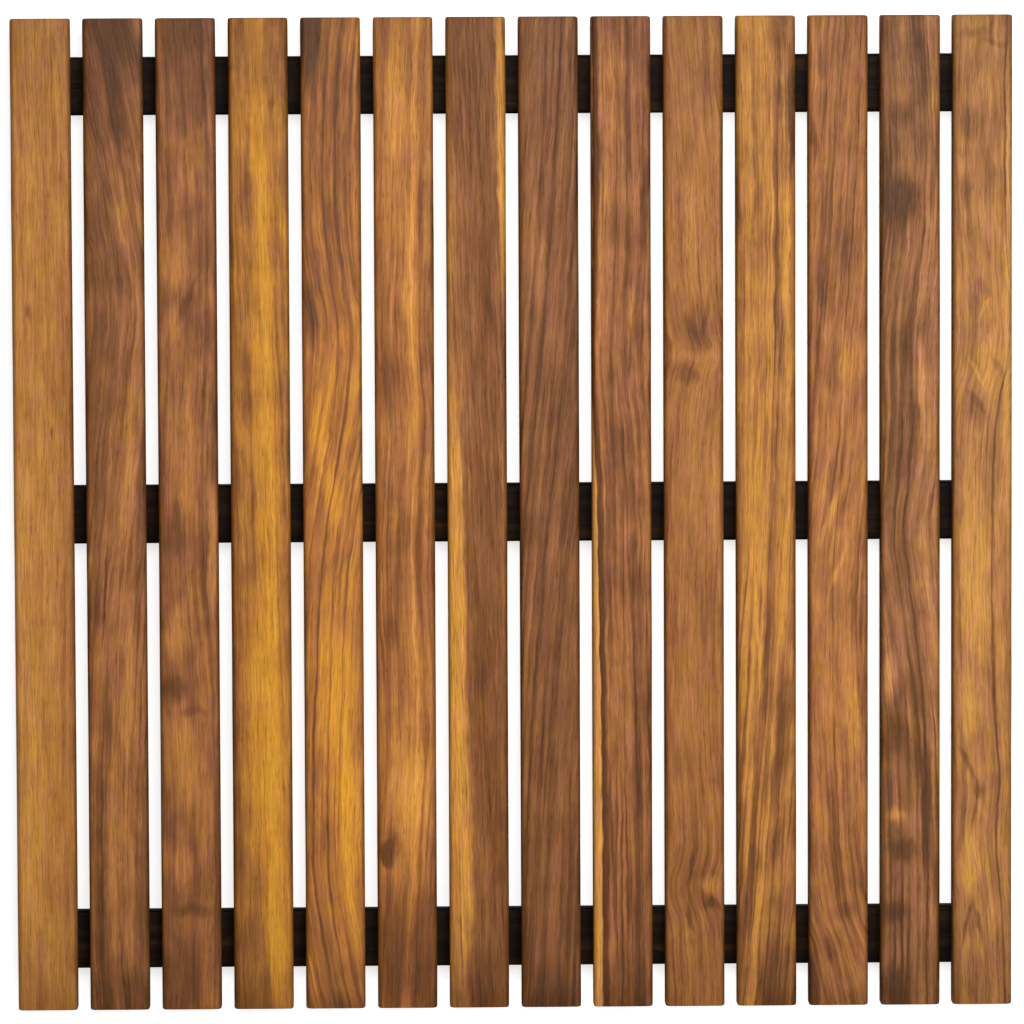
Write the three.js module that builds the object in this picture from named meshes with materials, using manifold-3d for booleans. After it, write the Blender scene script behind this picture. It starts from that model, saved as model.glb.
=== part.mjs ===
// Slatted teak bath mat: fourteen slats laid side by side over three cross battens, each
// slat screwed to every batten from below, with rubber feet pushed into the battens.
//
// Millimetres, +Z up. X runs across the slats, Y runs along them, and the origin is on the
// floor under the middle of the mat. From the floor up the layers are feet, battens, slats.

import * as THREE from "three";
import { mergeVertices } from "three/addons/utils/BufferGeometryUtils.js";
import Module from "manifold-3d";

// ---- Driving dimensions ----

// Slats
const SLAT_COUNT = 14;
const SLAT_WIDTH = 36;
const SLAT_GAP = 7.6;
const SLAT_LENGTH = 600;
const SLAT_THICKNESS = 16;
const SLAT_EDGE_RADIUS = 3;
const SLAT_END_EASE = 1.2;

// Battens
const BATTEN_WIDTH = 35;
const BATTEN_THICKNESS = 14;
const BATTEN_EDGE_RADIUS = 2;
const BATTEN_END_EASE = 1;
const BATTEN_INSET = 41; // from a slat's end to the centre line of the outer batten
const BATTEN_SETBACK = 3; // from the mat's side to the batten's end

// Countersunk wood screws
const SCREW_HEAD_DIAMETER = 8;
const SCREW_HEAD_HEIGHT = 2.6;
const SCREW_HEAD_RIM = 0.4;
const SCREW_SHANK_DIAMETER = 4;
const SCREW_TIP_LENGTH = 4;
const SCREW_RECESS = 0.8; // the head's face below the batten's underside
const SCREW_COVER = 4.2; // wood left between the screw's tip and the slat's top face
const SCREW_CLEARANCE = 0.3; // all round the screw, in the batten and in the slat
const PILOT_RUNOUT = 1; // the pilot hole beyond the screw's tip

// Rubber feet
const FOOT_DIAMETER = 18;
const FOOT_HEIGHT = 3;
const FOOT_EDGE_BEVEL = 0.8;
const FOOT_STEM_DIAMETER = 8;
const FOOT_STEM_TIP = 1.2; // chamfer at the stem's end
const FOOT_STEM_COVER = 5; // wood left above the stem's hole
const FOOT_STEM_CLEARANCE = 0.3; // round the stem and beyond its tip

// How finely the round shapes are divided
const ROUNDOVER_STEPS = 2;
const SCREW_SIDES = 8;
const FOOT_SIDES = 12;
const HOLE_OVERRUN = 1; // how far a cutting tool starts outside the wood

// ---- Derived places ----

const SLAT_PITCH = SLAT_WIDTH + SLAT_GAP;
const MAT_WIDTH = SLAT_COUNT * SLAT_WIDTH + (SLAT_COUNT - 1) * SLAT_GAP;
const BATTEN_LENGTH = MAT_WIDTH - 2 * BATTEN_SETBACK;
const BATTEN_Y = SLAT_LENGTH / 2 - BATTEN_INSET;
const BATTEN_Z = FOOT_HEIGHT;
const SLAT_Z = BATTEN_Z + BATTEN_THICKNESS;
const SCREW_LENGTH = BATTEN_THICKNESS - SCREW_RECESS + SLAT_THICKNESS - SCREW_COVER;
const FOOT_STEM_LENGTH = BATTEN_THICKNESS - FOOT_STEM_COVER - FOOT_STEM_CLEARANCE;

const SLATS = Array.from({ length: SLAT_COUNT }, (_, i) => i + 1);
const slatX = (slat) => (slat - (SLAT_COUNT + 1) / 2) * SLAT_PITCH;
const gapX = (gap) => (gap - SLAT_COUNT / 2) * SLAT_PITCH;

const BATTENS = [
  { place: "front", y: -BATTEN_Y },
  { place: "middle", y: 0 },
  { place: "back", y: BATTEN_Y },
];

// A foot stands under the outermost gaps and the middle one, clear of the slats' screws.
const FEET = [
  { side: "left", x: gapX(1) },
  { side: "centre", x: gapX(Math.round(SLAT_COUNT / 2)) },
  { side: "right", x: gapX(SLAT_COUNT - 1) },
];

// ---- Finishes ----

const teak = (color) => new THREE.MeshStandardMaterial({ color, roughness: 0.45, metalness: 0 });
const TEAK = {
  honey: teak(0xb37838),
  tan: teak(0xab743f),
  russet: teak(0x9f693d),
  brown: teak(0x8c5c39),
  wet: teak(0x5a3a22),
};
const STEEL = new THREE.MeshStandardMaterial({ color: 0xb9bcc0, roughness: 0.32, metalness: 1 });
const RUBBER = new THREE.MeshStandardMaterial({ color: 0x1b1b1c, roughness: 0.85, metalness: 0 });

// Each slat is from a different board, so the tones change from one to the next.
const SLAT_TONES = [
  "tan", "brown", "brown", "honey", "tan", "tan", "russet",
  "brown", "russet", "russet", "honey", "russet", "brown", "tan",
];

// ---- Solids ----

const wasm = await Module();
wasm.setup();

const X = new THREE.Vector3(1, 0, 0);
const Y = new THREE.Vector3(0, 1, 0);
const Z = new THREE.Vector3(0, 0, 1);

// Exact quarter turns, each given by where the geometry's own x, y and z axes go.
const ALONG_X = new THREE.Matrix4().makeBasis(Y, Z, X);
const ALONG_Y = new THREE.Matrix4().makeBasis(X.clone().negate(), Z, Y);
const UPRIGHT = ALONG_X;

function toSolid(geometry) {
  const bare = geometry.clone();
  bare.deleteAttribute("normal");
  bare.deleteAttribute("uv");
  const merged = mergeVertices(bare);
  return new wasm.Manifold(
    new wasm.Mesh({
      numProp: 3,
      vertProperties: merged.getAttribute("position").array,
      triVerts: new Uint32Array(merged.index.array),
    }),
  );
}

function toGeometry(solid) {
  const mesh = solid.getMesh();
  const geometry = new THREE.BufferGeometry();
  geometry.setAttribute("position", new THREE.BufferAttribute(mesh.vertProperties, 3));
  geometry.setIndex(new THREE.BufferAttribute(mesh.triVerts, 1));
  const faceted = geometry.toNonIndexed();
  faceted.computeVertexNormals();
  return faceted;
}

// A board section, centred across its width, with its underside at 0.
function boardSection(width, thickness, radius) {
  const half = width / 2;
  const section = new THREE.Shape();
  section.moveTo(-half + radius, 0);
  section.lineTo(half - radius, 0);
  section.absarc(half - radius, radius, radius, -Math.PI / 2, 0, false);
  section.lineTo(half, thickness - radius);
  section.absarc(half - radius, thickness - radius, radius, 0, Math.PI / 2, false);
  section.lineTo(-half + radius, thickness);
  section.absarc(-half + radius, thickness - radius, radius, Math.PI / 2, Math.PI, false);
  section.lineTo(-half, radius);
  section.absarc(-half + radius, radius, radius, Math.PI, 1.5 * Math.PI, false);
  return section;
}

// A board with rounded long edges and eased ends, centred on its length.
function board(length, width, thickness, radius, ease, direction) {
  const geometry = new THREE.ExtrudeGeometry(boardSection(width, thickness, radius), {
    depth: length - 2 * ease,
    curveSegments: ROUNDOVER_STEPS,
    bevelEnabled: true,
    bevelThickness: ease,
    bevelSize: ease,
    bevelOffset: -ease,
    bevelSegments: 1,
  });
  geometry.translate(0, 0, ease - length / 2);
  return geometry.applyMatrix4(direction);
}

// A turned shape, standing on Z, from [radius, height] pairs that start and end on the axis.
function turned(profile, sides) {
  const points = profile.map(([radius, height]) => new THREE.Vector2(radius, height));
  return new THREE.LatheGeometry(points, sides).applyMatrix4(UPRIGHT);
}

function drill(boardSolid, tool, places) {
  return places.reduce((left, { x, y }) => left.subtract(tool.translate([x, y, 0])), boardSolid);
}

// ---- Screws: heights are from the batten's underside ----

const SHANK_TOP = SCREW_RECESS + SCREW_LENGTH - SCREW_TIP_LENGTH;

function screwGeometry() {
  const headRadius = SCREW_HEAD_DIAMETER / 2;
  const shankRadius = SCREW_SHANK_DIAMETER / 2;
  const profile = [
    [0, SCREW_RECESS],
    [headRadius, SCREW_RECESS],
    [headRadius, SCREW_RECESS + SCREW_HEAD_RIM],
    [shankRadius, SCREW_RECESS + SCREW_HEAD_HEIGHT],
    [shankRadius, SHANK_TOP],
    [0, SHANK_TOP + SCREW_TIP_LENGTH],
  ];
  return turned(profile, SCREW_SIDES);
}

// The countersunk hole through a batten.
function screwHole() {
  const headRadius = SCREW_HEAD_DIAMETER / 2 + SCREW_CLEARANCE;
  const shankRadius = SCREW_SHANK_DIAMETER / 2 + SCREW_CLEARANCE;
  const profile = [
    [0, -HOLE_OVERRUN],
    [headRadius, -HOLE_OVERRUN],
    [headRadius, SCREW_RECESS + SCREW_HEAD_RIM],
    [shankRadius, SCREW_RECESS + SCREW_HEAD_HEIGHT],
    [shankRadius, BATTEN_THICKNESS + HOLE_OVERRUN],
    [0, BATTEN_THICKNESS + HOLE_OVERRUN],
  ];
  return toSolid(turned(profile, SCREW_SIDES));
}

// The blind pilot hole in a slat's underside, with heights from that underside.
function pilotHole() {
  const radius = SCREW_SHANK_DIAMETER / 2 + SCREW_CLEARANCE;
  const depth = SLAT_THICKNESS - SCREW_COVER + PILOT_RUNOUT;
  const profile = [
    [0, -HOLE_OVERRUN],
    [radius, -HOLE_OVERRUN],
    [radius, depth],
    [0, depth],
  ];
  return toSolid(turned(profile, SCREW_SIDES));
}

// ---- Feet: heights are from the floor ----

function footGeometry() {
  const radius = FOOT_DIAMETER / 2;
  const stemRadius = FOOT_STEM_DIAMETER / 2;
  const stemTop = FOOT_HEIGHT + FOOT_STEM_LENGTH;
  const profile = [
    [0, 0],
    [radius - FOOT_EDGE_BEVEL, 0],
    [radius, FOOT_EDGE_BEVEL],
    [radius, FOOT_HEIGHT],
    [stemRadius, FOOT_HEIGHT],
    [stemRadius, stemTop - FOOT_STEM_TIP],
    [stemRadius - FOOT_STEM_TIP, stemTop],
    [0, stemTop],
  ];
  return turned(profile, FOOT_SIDES);
}

// The blind hole that takes a foot's stem, with heights from the batten's underside.
function stemHole() {
  const radius = FOOT_STEM_DIAMETER / 2 + FOOT_STEM_CLEARANCE;
  const depth = BATTEN_THICKNESS - FOOT_STEM_COVER;
  const profile = [
    [0, -HOLE_OVERRUN],
    [radius, -HOLE_OVERRUN],
    [radius, depth],
    [0, depth],
  ];
  return toSolid(turned(profile, FOOT_SIDES));
}

// ---- Assembly ----

function addMesh(group, name, geometry, material, x, y, z) {
  const mesh = new THREE.Mesh(geometry, material);
  mesh.name = name;
  mesh.position.set(x, y, z);
  group.add(mesh);
}

const twoDigits = (number) => String(number).padStart(2, "0");

function slats() {
  const group = new THREE.Group();
  const blank = board(
    SLAT_LENGTH, SLAT_WIDTH, SLAT_THICKNESS, SLAT_EDGE_RADIUS, SLAT_END_EASE, ALONG_Y,
  );
  const pilots = BATTENS.map(({ y }) => ({ x: 0, y }));
  const geometry = toGeometry(drill(toSolid(blank), pilotHole(), pilots));
  SLATS.forEach((slat, i) => {
    const material = TEAK[SLAT_TONES[i % SLAT_TONES.length]];
    addMesh(group, `slat_${twoDigits(slat)}`, geometry, material, slatX(slat), 0, SLAT_Z);
  });
  return group;
}

function battens() {
  const group = new THREE.Group();
  const blank = board(
    BATTEN_LENGTH, BATTEN_WIDTH, BATTEN_THICKNESS, BATTEN_EDGE_RADIUS, BATTEN_END_EASE, ALONG_X,
  );
  const screwPlaces = SLATS.map((slat) => ({ x: slatX(slat), y: 0 }));
  const footPlaces = FEET.map(({ x }) => ({ x, y: 0 }));
  const screwed = drill(toSolid(blank), screwHole(), screwPlaces);
  const geometry = toGeometry(drill(screwed, stemHole(), footPlaces));
  for (const { place, y } of BATTENS) {
    addMesh(group, `batten_${place}`, geometry, TEAK.wet, 0, y, BATTEN_Z);
  }
  return group;
}

// The outer battens get every screw. On the middle batten this model holds each third screw
// counted in from both sides, and the holes of the ones between stay open.
function holdsScrew(place, slat) {
  const fromSide = Math.min(slat, SLAT_COUNT + 1 - slat);
  return place !== "middle" || fromSide % 3 === 1;
}

function screws() {
  const group = new THREE.Group();
  const geometry = screwGeometry();
  for (const { place, y } of BATTENS) {
    for (const slat of SLATS.filter((number) => holdsScrew(place, number))) {
      const name = `screw_${place}_${twoDigits(slat)}`;
      addMesh(group, name, geometry, STEEL, slatX(slat), y, BATTEN_Z);
    }
  }
  return group;
}

function feet() {
  const group = new THREE.Group();
  const geometry = footGeometry();
  for (const { place, y } of BATTENS) {
    for (const { side, x } of FEET) {
      addMesh(group, `foot_${place}_${side}`, geometry, RUBBER, x, y, 0);
    }
  }
  return group;
}

const bathMat = new THREE.Group();
bathMat.name = "bath_mat";
bathMat.add(slats(), battens(), screws(), feet());

export default bathMat;
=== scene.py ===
"""A square slatted teak bath mat: boards, battens, screws and feet, with a studio round them."""

from __future__ import annotations

import logging
import math
from dataclasses import dataclass
from enum import Enum

import bmesh
import bpy
from mathutils import Matrix, Vector, noise

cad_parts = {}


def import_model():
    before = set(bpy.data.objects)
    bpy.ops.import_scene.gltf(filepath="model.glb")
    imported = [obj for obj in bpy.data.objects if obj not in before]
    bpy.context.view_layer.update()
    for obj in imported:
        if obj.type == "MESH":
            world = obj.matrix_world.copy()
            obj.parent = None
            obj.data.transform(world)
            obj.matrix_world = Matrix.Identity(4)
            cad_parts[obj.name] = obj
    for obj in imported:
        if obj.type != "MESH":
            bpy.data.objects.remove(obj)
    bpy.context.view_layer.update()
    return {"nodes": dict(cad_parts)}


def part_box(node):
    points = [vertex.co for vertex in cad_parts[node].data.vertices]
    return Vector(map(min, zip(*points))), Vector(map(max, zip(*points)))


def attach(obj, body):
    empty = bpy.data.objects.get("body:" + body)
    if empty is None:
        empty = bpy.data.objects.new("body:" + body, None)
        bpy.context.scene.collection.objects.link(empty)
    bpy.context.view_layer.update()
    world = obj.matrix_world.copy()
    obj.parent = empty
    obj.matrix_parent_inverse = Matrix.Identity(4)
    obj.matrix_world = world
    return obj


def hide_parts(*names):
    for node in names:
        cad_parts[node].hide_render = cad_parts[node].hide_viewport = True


MM = 0.001
BODY = "root"
PLACES = ("front", "middle", "back")
SIDES = ("left", "centre", "right")
SLAT_COUNT = 14
SHARP_FOLD = 35.0
WELD = 0.002 * MM
ON_PLANE = 1e-7

Tree = bpy.types.NodeTree
Socket = bpy.types.NodeSocket
Outline = list[tuple[float, float]]
Span = tuple[float, float]

log = logging.getLogger("bath_mat")


# ---------------------------------------------------------------- helpers


def srgb(hex_colour: str) -> tuple[float, float, float, float]:
    """Turns an sRGB hex colour into a linear one.

    Args:
        hex_colour: The colour as "#rrggbb".

    Returns:
        Linear red, green, blue and an alpha of 1.
    """
    values = [int(hex_colour[i : i + 2], 16) / 255 for i in (1, 3, 5)]
    linear = [v / 12.92 if v <= 0.04045 else ((v + 0.055) / 1.055) ** 2.4 for v in values]
    return (*linear, 1.0)


def add(tree: Tree, kind: str, inputs: dict | None = None, **settings) -> bpy.types.Node:
    """Adds one node with its settings, and gives each input a value or a link.

    Args:
        tree: The node tree that gets the node.
        kind: The node's type, such as "ShaderNodeMath".
        inputs: Input names or numbers, with a value or another node's output socket.
        settings: The node's own properties.

    Returns:
        The new node.
    """
    node = tree.nodes.new(kind)
    for name, value in settings.items():
        setattr(node, name, value)
    for key, value in (inputs or {}).items():
        if isinstance(value, Socket):
            tree.links.new(value, node.inputs[key])
        else:
            node.inputs[key].default_value = value
    return node


def set_stops(ramp: bpy.types.Node, stops: list[tuple[float, tuple[float, ...]]]) -> None:
    """Gives a colour ramp its stops.

    Args:
        ramp: The colour ramp.
        stops: Each stop's place from 0 to 1 and its colour, in order.
    """
    elements = ramp.color_ramp.elements
    for i, (at, colour) in enumerate(stops):
        stop = elements[i] if i < 2 else elements.new(at)
        stop.position = at
        stop.color = colour


def new_material(name: str) -> tuple[bpy.types.Material, Tree, bpy.types.Node]:
    """Makes an empty node material with its Principled shader.

    Args:
        name: The finish's name.

    Returns:
        The material, its node tree and the Principled node.
    """
    material = bpy.data.materials.new(name)
    material.use_nodes = True
    tree = material.node_tree
    tree.nodes.clear()
    shader = add(tree, "ShaderNodeBsdfPrincipled")
    add(tree, "ShaderNodeOutputMaterial", {"Surface": shader.outputs[0]})
    return material, tree, shader


def middle_of(node: str) -> Vector:
    """Gives the middle of a frame node's box, in metres."""
    low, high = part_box(node)
    return (low + high) / 2


def linked(name: str, mesh: bpy.types.Mesh) -> bpy.types.Object:
    """Makes a mesh into an object at the origin, and puts it in the scene.

    Args:
        name: The object's name.
        mesh: Its mesh.

    Returns:
        The object.
    """
    piece = bpy.data.objects.new(name, mesh)
    bpy.context.scene.collection.objects.link(piece)
    return piece


def meshed(bm: bmesh.types.BMesh, name: str) -> bpy.types.Mesh:
    """Turns a bmesh into a mesh.

    Args:
        bm: The finished bmesh, which is freed.
        name: The mesh's name.

    Returns:
        The mesh.
    """
    mesh = bpy.data.meshes.new(name)
    bm.to_mesh(mesh)
    bm.free()
    return mesh


def piece_from(bm: bmesh.types.BMesh, name: str, fold: float = SHARP_FOLD) -> bpy.types.Object:
    """Turns a bmesh into an object with smooth shading between gentle folds.

    Args:
        bm: The finished bmesh, which is freed.
        name: The piece's name.
        fold: Folds sharper than this many degrees stay crisp.

    Returns:
        The linked object, at the origin.
    """
    bmesh.ops.recalc_face_normals(bm, faces=bm.faces)
    mesh = meshed(bm, name)
    mesh.shade_smooth()
    mesh.set_sharp_from_angle(angle=math.radians(fold))
    return linked(name, mesh)


def copied(source: bpy.types.Object, name: str, offset: Vector) -> bpy.types.Object:
    """Copies a piece's mesh to another place.

    Args:
        source: The piece to copy.
        name: The copy's name.
        offset: How far the copy's mesh is moved, in metres.

    Returns:
        The linked copy, at the origin.
    """
    mesh = source.data.copy()
    mesh.name = name
    mesh.transform(Matrix.Translation(offset))
    return linked(name, mesh)


def turned(bm: bmesh.types.BMesh, profile: Outline, centre: Vector, steps: int) -> None:
    """Spins a profile round an upright axis into a closed shape.

    Args:
        bm: The bmesh that gets the shape.
        profile: Radius and height pairs in millimetres, from the axis and back to it.
        centre: The axis's foot, in metres.
        steps: The number of steps in the full turn.
    """
    verts = [bm.verts.new(centre + Vector((r * MM, 0, z * MM))) for r, z in profile]
    edges = [bm.edges.new(pair) for pair in zip(verts, verts[1:])]
    bmesh.ops.spin(
        bm,
        geom=verts + edges,
        cent=centre,
        axis=(0, 0, 1),
        angle=2 * math.pi,
        steps=steps,
        use_merge=True,
    )
    bmesh.ops.remove_doubles(bm, verts=bm.verts, dist=WELD)


def cut(piece: bpy.types.Object, cutter: bpy.types.Object) -> None:
    """Takes the cutter's shape out of a piece, and removes the cutter.

    Args:
        piece: The piece to cut.
        cutter: A closed object, such as a set of drills.
    """
    modifier = piece.modifiers.new("cut", "BOOLEAN")
    modifier.object = cutter
    modifier.operation = "DIFFERENCE"
    modifier.solver = "EXACT"
    graph = bpy.context.evaluated_depsgraph_get()
    mesh = bpy.data.meshes.new_from_object(piece.evaluated_get(graph))
    piece.modifiers.clear()
    piece.data = mesh
    mesh.name = piece.name
    mesh.set_sharp_from_angle(angle=math.radians(SHARP_FOLD))
    bpy.data.objects.remove(cutter)


def keep(piece: bpy.types.Object, material: bpy.types.Material, node: str | None) -> None:
    """Dresses a piece, lets it ride on the mat and hides the frame's node that it replaces.

    Args:
        piece: The finished piece.
        material: Its finish.
        node: The frame's node that the piece replaces, if it has one.
    """
    piece.data.materials.clear()
    piece.data.materials.append(material)
    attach(piece, BODY)
    if node:
        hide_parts(node)
    log.info("%s: %d faces, %s", piece.name, len(piece.data.polygons), material.name)


# ---------------------------------------------------------------- finishes


class Run(Enum):
    """Which way a board runs."""

    ALONG_X = 0
    ALONG_Y = 1


@dataclass(frozen=True)
class Mark:
    """A soft-edged oval of darker or lighter wood, some of them painted shade, in millimetres from the
    board's middle.

    x and y are its centre across and along the board, across and along its half sizes, tone how
    much lighter it is (negative for darker), and turn its slant in degrees.
    """

    x: float
    y: float
    across: float
    along: float
    tone: float
    turn: float = 0.0


@dataclass(frozen=True)
class Board:
    """One board's own colour and figure.

    tones are five colours from its darkest to its lightest wood. path says how the grain wanders,
    as (y, sideways shift) pairs in millimetres, and bands how light the wood is across the grain,
    as (distance, tone) pairs from 0 to 1. lines, fibre and cloud are the strengths of the growth
    lines, the fine fibres and the soft mottling, and sheen the strength of the oil's shine.
    """

    tones: tuple[str, str, str, str, str]
    path: tuple[Span, ...]
    bands: tuple[Span, ...]
    marks: tuple[Mark, ...] = ()
    lines: float = 0.30
    fibre: float = 0.55
    cloud: float = 0.9
    sheen: float = 0.22


@dataclass(frozen=True)
class Cloud:
    """A cloudy field in the wood: the size of its clouds across, along and through the board.

    Sizes are in millimetres. number sets it apart from the wood's other fields, and detail says
    how much finer cloud it holds.
    """

    across: float
    along: float
    through: float
    number: int
    detail: float


@dataclass(frozen=True)
class Teak:
    """Oiled teak, planed and sanded: satin, warm brown with darker growth lines and open pores.

    Every pattern is a solid one in the board's own millimetres, so faces, edges and end grain
    agree. Sizes are in millimetres, and spans are (from, to) pairs.
    """

    # how the grain runs
    half_length: float = 300.0
    path_reach: float = 40.0
    lean: float = 0.35
    ragged: Cloud = Cloud(7.0, 22.0, 7.0, 0, 2.0)
    sway: tuple[float, float, float] = (6.0, 11.0, 5.0)
    wander: float = 0.45
    cloud_roughness: float = 0.55
    seed_step: tuple[float, float, float] = (7.31, 3.77, 5.13)

    # how light the wood is
    band_reach: float = 40.0
    band_gain: float = 0.85
    broad: Cloud = Cloud(7.0, 420.0, 30.0, 0, 1.0)
    broad_share: float = 0.46
    cloud: Cloud = Cloud(13.0, 26.0, 15.0, 1, 2.5)
    cloud_share: float = 0.55
    streak: Cloud = Cloud(2.2, 60.0, 4.0, 5, 1.5)
    streak_share: float = 0.38
    growth: Cloud = Cloud(5.0, 300.0, 40.0, 2, 1.0)
    line_width: float = 0.1
    line_depth: float = 0.75
    fading: Cloud = Cloud(9.0, 110.0, 20.0, 6, 1.0)
    fading_span: Span = (0.36, 0.62)
    faintest_line: float = 0.15
    mark_gain: float = 0.64
    mark_core: float = 0.15
    mark_depth: float = 40.0

    # its fibres and pores
    fibre: Cloud = Cloud(0.9, 24.0, 1.5, 3, 2.0)
    fibre_span: Span = (0.25, 0.75)
    fibre_gain: float = 0.5
    pore: Cloud = Cloud(0.5, 7.0, 0.7, 4, 0.0)
    pore_span: Span = (0.60, 0.72)
    pore_shade: float = -0.22

    # its colours
    tone_places: tuple[float, ...] = (0.22, 0.39, 0.51, 0.63, 0.80)
    deepest: float = 0.62
    palest: tuple[float, float, float] = (0.96, 0.98, 0.88)
    # painted shade: the colour darkens over the rounded long edges and the sides, and towards the ends
    edge_span: Span = (15.0, 17.9)
    edge_shade: float = 0.64
    end_from: float = 200.0
    end_shade: float = 0.82
    flush: Cloud = Cloud(6.0, 20.0, 8.0, 7, 1.5)
    flush_span: Span = (0.32, 0.68)
    golden: tuple[float, float, float] = (1.01, 1.03, 0.62)
    rosy: tuple[float, float, float] = (1.0, 0.94, 1.2)

    # its surface
    roughness: Span = (0.46, 0.62)
    gloss_span: Span = (0.3, 0.7)
    bump_strength: float = 0.35
    bump_height: float = 0.12

    def material(self, name: str, board: Board, centre: Vector, seed: int, run: Run) -> bpy.types.Material:
        """Builds one board's wood.

        Args:
            name: The material's name.
            board: The board's colours and figure.
            centre: The middle of the board's upper face, in metres.
            seed: A whole number that sets its grain apart from the others.
            run: Which way the board runs.

        Returns:
            The finished material.
        """
        material, tree, shader = new_material(name)
        place = add(tree, "ShaderNodeTexCoord").outputs["Object"]
        quarter = math.pi / 2 if run is Run.ALONG_X else 0.0
        middle = Matrix.Rotation(quarter, 3, "Z") @ (-centre / MM)
        in_board = {
            "Vector": place,
            "Location": middle,
            "Rotation": (0, 0, quarter),
            "Scale": (1 / MM,) * 3,
        }
        wood = add(tree, "ShaderNodeMapping", in_board).outputs[0]
        ragged = self.field(tree, wood, self.ragged, seed, "Color")
        off_middle = {0: ragged, 1: (0.5, 0.5, 0.5)}
        swing = add(tree, "ShaderNodeVectorMath", off_middle, operation="SUBTRACT").outputs[0]
        swung = {0: swing, 1: self.sway, 2: wood}
        wavy = add(tree, "ShaderNodeVectorMath", swung, operation="MULTIPLY_ADD").outputs[0]
        grain = self.grain(tree, board, wood, wavy)
        tone = self.tone(tree, board, grain, wavy, seed)
        fibre = self.field(tree, grain, self.fibre, seed)
        pore = self.pores(tree, grain, seed)
        colour = self.colour(tree, board, tone, fibre, pore, wood, seed)
        tree.links.new(colour, shader.inputs["Base Color"])
        self.surface(tree, shader, fibre, pore, board.sheen)
        return material

    def field(self, tree: Tree, place: Socket, cloud: Cloud, seed: int, output: str = "Fac") -> Socket:
        """Lays a cloudy field over the wood.

        Args:
            tree: The material's node tree.
            place: Where the field is read, in millimetres.
            cloud: The field's sizes.
            seed: Sets this board apart from the others.
            output: "Fac" for one field, "Color" for three as a vector.

        Returns:
            The field, about 0.5 on average.
        """
        number = seed + cloud.number
        in_clouds = {
            "Vector": place,
            "Location": tuple(number * step for step in self.seed_step),
            "Scale": (1 / cloud.across, 1 / cloud.along, 1 / cloud.through),
        }
        scaled = add(tree, "ShaderNodeMapping", in_clouds).outputs[0]
        look = {
            "Vector": scaled,
            "Scale": 1.0,
            "Detail": cloud.detail,
            "Roughness": self.cloud_roughness,
        }
        return add(tree, "ShaderNodeTexNoise", look).outputs[output]

    def grain(self, tree: Tree, board: Board, wood: Socket, wavy: Socket) -> Socket:
        """Bends the board's own space so that its first axis runs across the grain.

        Args:
            tree: The material's node tree.
            board: The board, for the path of its grain.
            wood: Place in the board, in millimetres.
            wavy: The same place, a little ragged.

        Returns:
            Place in the grain: across it, along it and through it, in millimetres.
        """
        axes = add(tree, "ShaderNodeSeparateXYZ", {0: wood}).outputs
        rough = add(tree, "ShaderNodeSeparateXYZ", {0: wavy}).outputs
        ends = {"Value": axes[1], "From Min": -self.half_length, "From Max": self.half_length}
        along = add(tree, "ShaderNodeMapRange", ends).outputs[0]
        curve = add(tree, "ShaderNodeFloatCurve", {"Value": along})
        points = curve.mapping.curves[0].points
        path = sorted(board.path)
        for i, (y, sideways) in enumerate(path):
            at = (y + self.half_length) / (2 * self.half_length)
            level = 0.5 + sideways / (2 * self.path_reach)
            if i in (0, len(path) - 1):
                points[0 if i == 0 else len(points) - 1].location = (at, level)
            else:
                points.new(at, level)
        curve.mapping.update()
        reach = {"Value": curve.outputs[0], "To Min": -self.path_reach, "To Max": self.path_reach}
        shift = add(tree, "ShaderNodeMapRange", reach).outputs[0]
        lean = {0: axes[2], 1: self.lean, 2: axes[0]}
        leaning = add(tree, "ShaderNodeMath", lean, operation="MULTIPLY_ADD").outputs[0]
        swing = add(tree, "ShaderNodeMath", {0: rough[0], 1: axes[0]}, operation="SUBTRACT").outputs[0]
        bent = add(tree, "ShaderNodeMath", {0: leaning, 1: shift}, operation="SUBTRACT").outputs[0]
        wander = {0: swing, 1: self.wander, 2: bent}
        across = add(tree, "ShaderNodeMath", wander, operation="MULTIPLY_ADD").outputs[0]
        return add(tree, "ShaderNodeCombineXYZ", {0: across, 1: axes[1], 2: axes[2]}).outputs[0]

    def tone(self, tree: Tree, board: Board, grain: Socket, wavy: Socket, seed: int) -> Socket:
        """Says how light the wood is at each place, before its fibres and pores.

        Args:
            tree: The material's node tree.
            board: The board, for its bands and marks.
            grain: Place in the grain.
            wavy: Place in the board, a little ragged, so that marks have natural edges.
            seed: Sets this board apart from the others.

        Returns:
            The tone, from 0 for its darkest wood to 1 for its lightest.
        """
        total = self.bands(tree, board, grain)
        layers = (
            (self.field(tree, grain, self.broad, seed), self.broad_share * board.cloud),
            (self.field(tree, wavy, self.cloud, seed), self.cloud_share * board.cloud),
            (self.field(tree, grain, self.streak, seed), self.streak_share),
        )
        for layer, share in layers:
            centred = add(tree, "ShaderNodeMath", {0: layer, 1: -0.5}, operation="ADD").outputs[0]
            layered = {0: centred, 1: share, 2: total}
            total = add(tree, "ShaderNodeMath", layered, operation="MULTIPLY_ADD").outputs[0]
        total = self.growth_lines(tree, board, grain, seed, total)
        for mark in board.marks:
            total = self.marked(tree, mark, wavy, total)
        return total

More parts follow.
